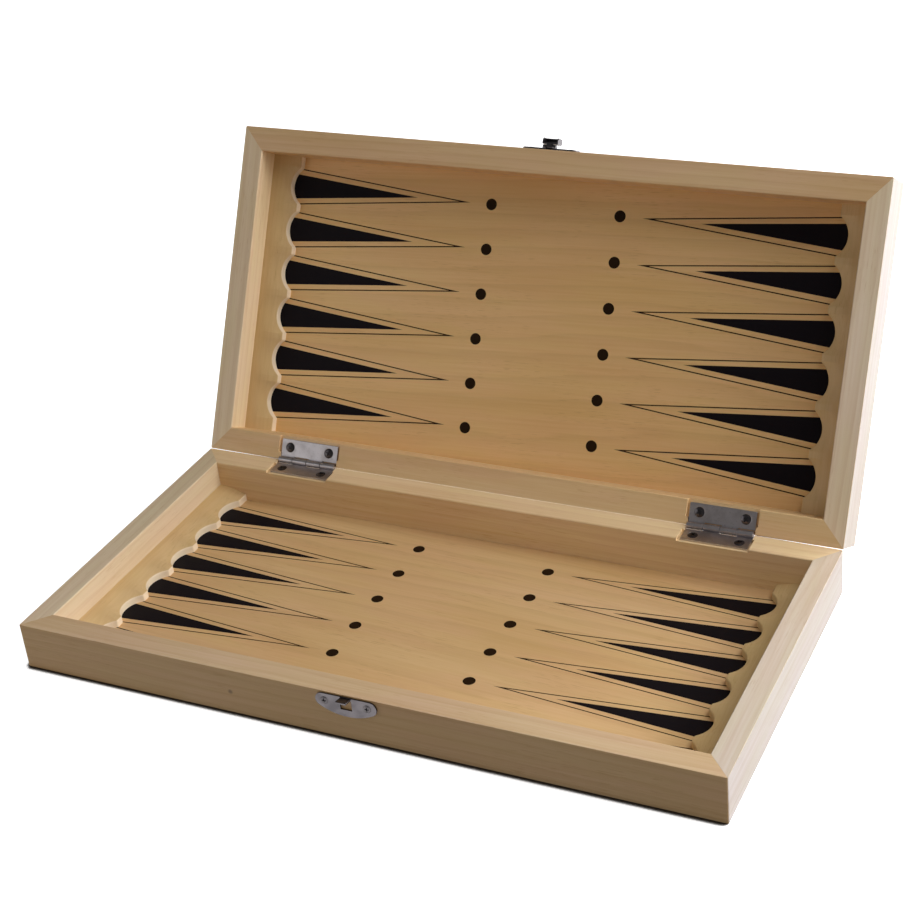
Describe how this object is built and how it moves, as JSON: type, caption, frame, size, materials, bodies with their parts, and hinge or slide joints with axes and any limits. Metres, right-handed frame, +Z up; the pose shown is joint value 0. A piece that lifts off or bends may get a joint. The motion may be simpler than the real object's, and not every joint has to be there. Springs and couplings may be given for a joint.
{
  "type": "folding travel game box",
  "caption": "Folding wooden game box, open: backgammon board with scalloped strips inside, chess and draughts squares outside, two butt hinges and a small hasp catch.",
  "frame": {"origin": "centre of the lower half's underside, on the surface that the box stands on", "axes": "+X to the right along the hinge line, +Y from the catch side to the hinge side, +Z up"},
  "size_m": [0.29, 0.2349, 0.152],
  "materials": {
    "frame_wood": "pale softwood, thinly lacquered, satin",
    "panel_wood": "thin pale board with fine grain, satin",
    "strip_wood": "pale softwood, thinly lacquered, satin",
    "ink": "printed black ink, slightly glossy",
    "hinge_steel": "nickel plated, satin",
    "screw_steel": "zinc plated",
    "catch_steel": "nickel plated, bright"
  },
  "bodies": {
    "tray": {"tray_front_rail": "frame_wood", "tray_back_rail": "frame_wood", "tray_left_rail": "frame_wood", "tray_right_rail": "frame_wood", "tray_panel": "panel_wood", "tray_left_point_strip": "strip_wood", "tray_right_point_strip": "strip_wood", "tray_point_print": "ink", "tray_board_print": "ink", "left_hinge_tray_leaf": "hinge_steel", "left_hinge_pin": "hinge_steel", "right_hinge_tray_leaf": "hinge_steel", "right_hinge_pin": "hinge_steel", "tray_hinge_screws": "screw_steel", "keeper_plate": "catch_steel", "keeper_screws": "screw_steel"},
    "lid": {"lid_front_rail": "frame_wood", "lid_back_rail": "frame_wood", "lid_left_rail": "frame_wood", "lid_right_rail": "frame_wood", "lid_panel": "panel_wood", "lid_left_point_strip": "strip_wood", "lid_right_point_strip": "strip_wood", "lid_point_print": "ink", "lid_board_print": "ink", "left_hinge_lid_leaf": "hinge_steel", "right_hinge_lid_leaf": "hinge_steel", "lid_hinge_screws": "screw_steel", "catch_plate": "catch_steel", "catch_screws": "screw_steel", "hasp_pin": "catch_steel"},
    "hasp": {"hasp": "catch_steel"}
  },
  "joints": [
    {"name": "lid_hinge", "type": "hinge", "parent": "tray", "child": "lid", "pos_m": [0, 0.07255, 0.0201], "axis": [-1, 0, 0], "range_deg": [-118, 62]},
    {"name": "hasp_hinge", "type": "hinge", "parent": "lid", "child": "hasp", "pos_m": [0.001, 0.14265, 0.14852], "axis": [-1, 0, 0], "range_deg": [-92, 16]}
  ]
}
